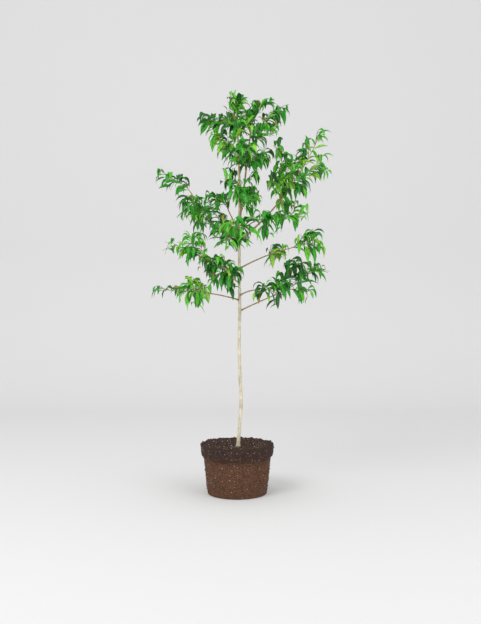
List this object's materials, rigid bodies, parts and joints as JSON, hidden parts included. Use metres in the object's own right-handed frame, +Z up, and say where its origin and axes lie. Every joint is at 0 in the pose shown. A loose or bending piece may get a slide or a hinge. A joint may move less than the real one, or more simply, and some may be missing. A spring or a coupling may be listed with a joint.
{
  "type": "potted plum tree",
  "caption": "Young nursery plum tree with a slim leaning trunk, open boughs and hanging lance-shaped leaves, standing on a root ball that keeps the shape of its pot.",
  "frame": {"origin": "centre of the root ball's flat underside", "axes": "+Z up along the trunk, +X to the viewer's right, +Y away from the viewer"},
  "size_m": [0.6583, 0.5362, 1.4423],
  "materials": {
    "root_ball": "moist potting mix laced with roots",
    "trunk_bark": "pale smooth young bark with small dark buds",
    "bough_bark": "yellow-tan smooth young bark",
    "foliage": "soft satin green leaf"
  },
  "bodies": {
    "root": {"root_ball": "root_ball", "trunk": "trunk_bark", "second_leader": "bough_bark", "bough_right_low": "bough_bark", "bough_right_second": "bough_bark", "bough_right_third": "bough_bark", "bough_right_high": "bough_bark", "bough_right_spur": "bough_bark", "bough_front_right": "bough_bark", "bough_front": "bough_bark", "bough_back_left": "bough_bark", "bough_back_low": "bough_bark", "bough_left_low": "bough_bark", "bough_left_second": "bough_bark", "bough_left_high": "bough_bark", "bough_left_top": "bough_bark", "leaves_top_left": "foliage", "leaves_top_right": "foliage", "leaves_top_left_spray": "foliage", "leaves_top_right_spray": "foliage", "leaves_top_right_low": "foliage", "leaves_top_front": "foliage", "leaves_top_back": "foliage", "leaves_column_left_high": "foliage", "leaves_column_right_high": "foliage", "leaves_column_front_high": "foliage", "leaves_column_back_high": "foliage", "leaves_column_left_low": "foliage", "leaves_column_right_low": "foliage", "leaves_column_front_low": "foliage", "leaves_column_back_low": "foliage", "leaves_right_high_tip": "foliage", "leaves_right_high_left": "foliage", "leaves_right_high_right": "foliage", "leaves_right_high_front": "foliage", "leaves_right_high_back": "foliage", "leaves_right_spur": "foliage", "leaves_front_right": "foliage", "leaves_front_left": "foliage", "leaves_front": "foliage", "leaves_back_left": "foliage", "leaves_back_low": "foliage", "leaves_left_top": "foliage", "leaves_left_high_tip": "foliage", "leaves_left_high_front": "foliage", "leaves_left_high_back": "foliage", "leaves_left_second_tip": "foliage", "leaves_left_second_far": "foliage", "leaves_left_second_low": "foliage", "leaves_left_second_inner": "foliage", "leaves_left_low_inner": "foliage", "leaves_left_low_front": "foliage", "leaves_left_low_tip": "foliage", "leaves_right_third_inner": "foliage", "leaves_right_third_tip": "foliage", "leaves_right_low_inner": "foliage", "leaves_right_low_tip": "foliage", "leaves_right_second": "foliage"}
  },
  "joints": []
}
